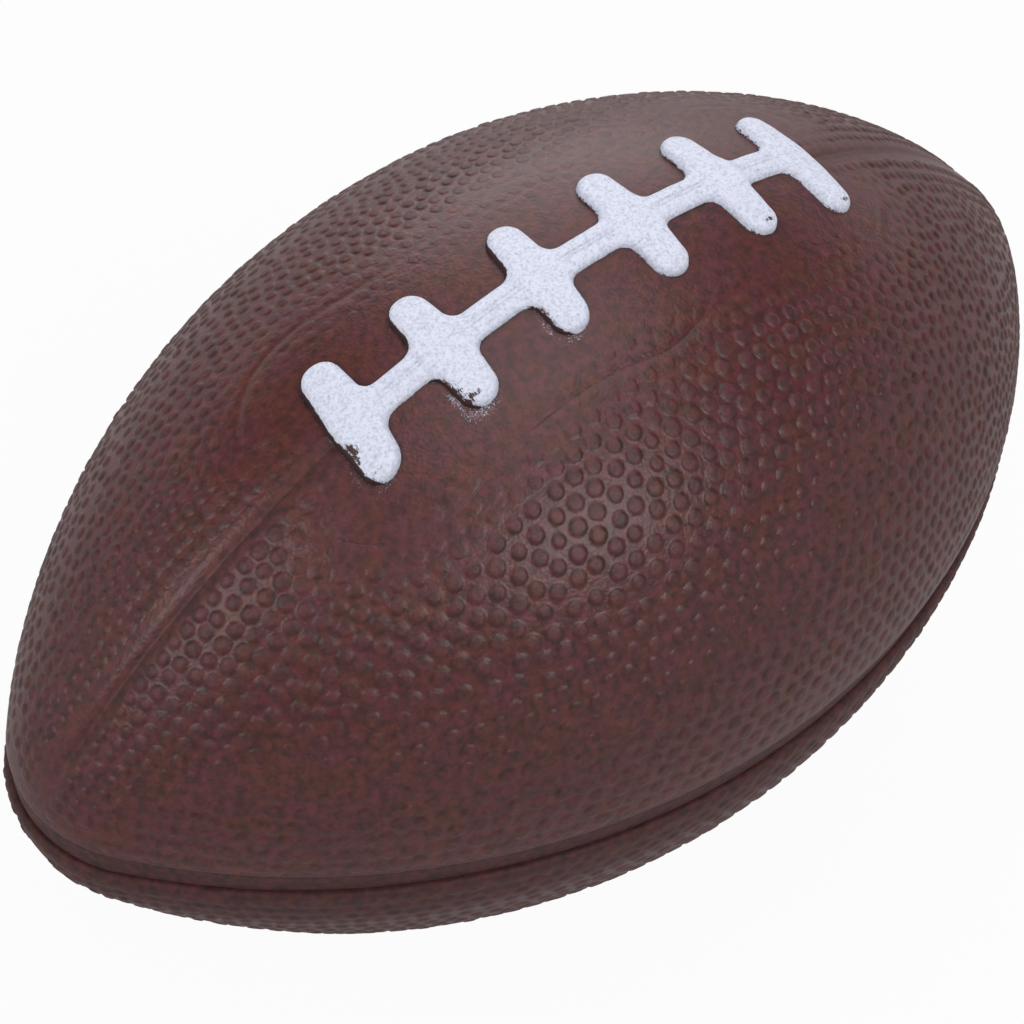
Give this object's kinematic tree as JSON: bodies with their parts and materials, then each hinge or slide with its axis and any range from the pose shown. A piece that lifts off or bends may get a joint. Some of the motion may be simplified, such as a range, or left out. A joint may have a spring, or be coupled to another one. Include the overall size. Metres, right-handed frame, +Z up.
{
  "type": "american football",
  "caption": "Small moulded foam football: blunt-tipped prolate ball with pebbled skin, parting channel, smooth lace panel and raised white laces.",
  "frame": {"origin": "centre of the ball, where its long axis crosses its widest section", "axes": "+X along the long axis from tip to tip, +Z up through the middle of the laces, +Y across; the parting plane is Z = 0"},
  "size_m": [0.15, 0.088, 0.0892],
  "materials": {
    "foam": "open-cell flexible polyurethane foam",
    "skin": "matte self-skinned polyurethane, moulded pebble grain",
    "lace_paint": "matte white paint sprayed on moulded polyurethane"
  },
  "bodies": {
    "root": {"foam_core": "foam", "upper_skin": "skin", "lower_skin": "skin", "laces": "lace_paint"}
  },
  "joints": []
}
